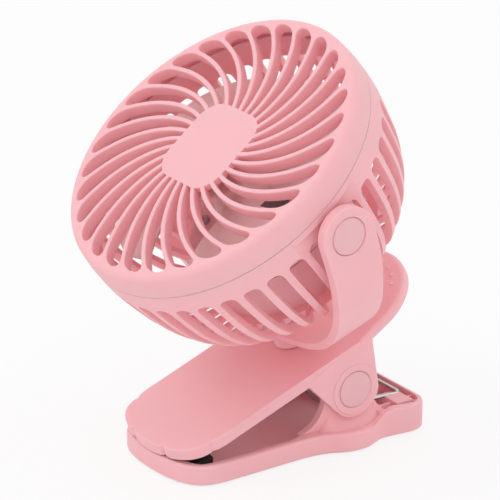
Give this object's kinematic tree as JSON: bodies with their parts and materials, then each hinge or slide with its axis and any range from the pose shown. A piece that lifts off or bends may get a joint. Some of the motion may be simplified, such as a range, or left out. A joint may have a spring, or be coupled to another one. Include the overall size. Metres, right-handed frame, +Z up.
{
  "type": "clip fan",
  "caption": "Round cage fan with swirling front ribs, held in a tilting and swivelling U bracket on a sprung clip that also stands flat.",
  "frame": {"origin": "on the flat underside of the clip's base, level with the clip hinge's middle in X and 13.5 mm in front of the hinge in Y", "axes": "+Z up, -Y towards the clip's tip and the side the fan faces, +X along the hinges"},
  "size_m": [0.1566, 0.1521, 0.1837],
  "materials": {
    "pink_plastic": "fine moulded satin-matt, pale pink",
    "pink_button": "smooth satin, pale pink",
    "blade_plastic": "smooth, slightly glossy pale pink",
    "black_rubber": "soft matt black",
    "black_plastic": "matt black",
    "steel_fittings": "bright zinc-plated steel",
    "spring_steel": "bright drawn spring wire",
    "motor_case": "plain deep-drawn steel can",
    "contact_plate": "nickel-plated strip",
    "battery_sleeve": "shrunk plastic sleeve, blue",
    "circuit_board": "green solder mask on glass-fibre board",
    "lens_plastic": "milky clear light guide",
    "washer_plastic": "self-coloured nylon"
  },
  "bodies": {
    "base": {"lower_jaw": "pink_plastic", "lower_pad": "black_rubber", "rubber_foot_1": "black_rubber", "rubber_foot_2": "black_rubber", "rubber_foot_3": "black_rubber", "rubber_foot_4": "black_rubber", "hinge_pin": "steel_fittings", "torsion_spring": "spring_steel"},
    "upper": {"upper_jaw": "pink_plastic", "upper_pad": "black_rubber", "hinge_cap_1": "pink_plastic", "hinge_cap_2": "pink_plastic", "swivel_screw": "steel_fittings", "swivel_washer": "steel_fittings", "swivel_nut": "steel_fittings"},
    "bracket": {"yoke": "pink_plastic", "pivot_cap_1": "pink_plastic", "pivot_cap_2": "pink_plastic"},
    "head": {"front_grille": "pink_plastic", "rear_cover": "pink_plastic", "motor": "motor_case", "motor_plate": "pink_plastic", "motor_screw_1": "steel_fittings", "motor_screw_2": "steel_fittings", "plate_screw_1": "steel_fittings", "plate_screw_2": "steel_fittings", "plate_screw_3": "steel_fittings", "battery": "battery_sleeve", "battery_contact_1": "contact_plate", "battery_contact_2": "contact_plate", "battery_door": "pink_plastic", "door_screw": "steel_fittings", "control_board": "circuit_board", "board_screw_1": "steel_fittings", "board_screw_2": "steel_fittings", "tact_switch": "black_plastic", "usb_socket": "steel_fittings", "led_lens": "lens_plastic", "tilt_screw_1": "steel_fittings", "tilt_screw_2": "steel_fittings", "tilt_washer_1": "washer_plastic", "tilt_washer_2": "washer_plastic"},
    "rotor": {"fan_blade": "blade_plastic", "motor_shaft": "steel_fittings"},
    "button": {"power_button": "pink_button"}
  },
  "joints": [
    {"name": "clip_open", "type": "hinge", "parent": "base", "child": "upper", "pos_m": [0, 0.0135, 0.0255], "axis": [-1, 0, 0], "range_deg": [0, 28], "stiffness_Nm_per_rad": 1.6, "springref_deg": -34.38, "deforming": ["torsion_spring"]},
    {"name": "bracket_swivel", "type": "hinge", "parent": "upper", "child": "bracket", "pos_m": [0, 0.00115, 0.0423], "axis": [0, -0.3338, 0.9426], "continuous": true},
    {"name": "head_tilt", "type": "hinge", "parent": "bracket", "child": "head", "pos_m": [0, -0.02656, 0.12054], "axis": [-1, 0, 0], "range_deg": [-65, 60]},
    {"name": "blade_spin", "type": "hinge", "parent": "head", "child": "rotor", "pos_m": [0, -0.02656, 0.12054], "axis": [0, -0.6211, 0.7837], "continuous": true},
    {"name": "button_press", "type": "slide", "parent": "head", "child": "button", "axis": [0, -0.6211, 0.7837], "range_m": [0, 0.0007], "stiffness_N_per_m": 400, "springref_m": -0.001}
  ]
}
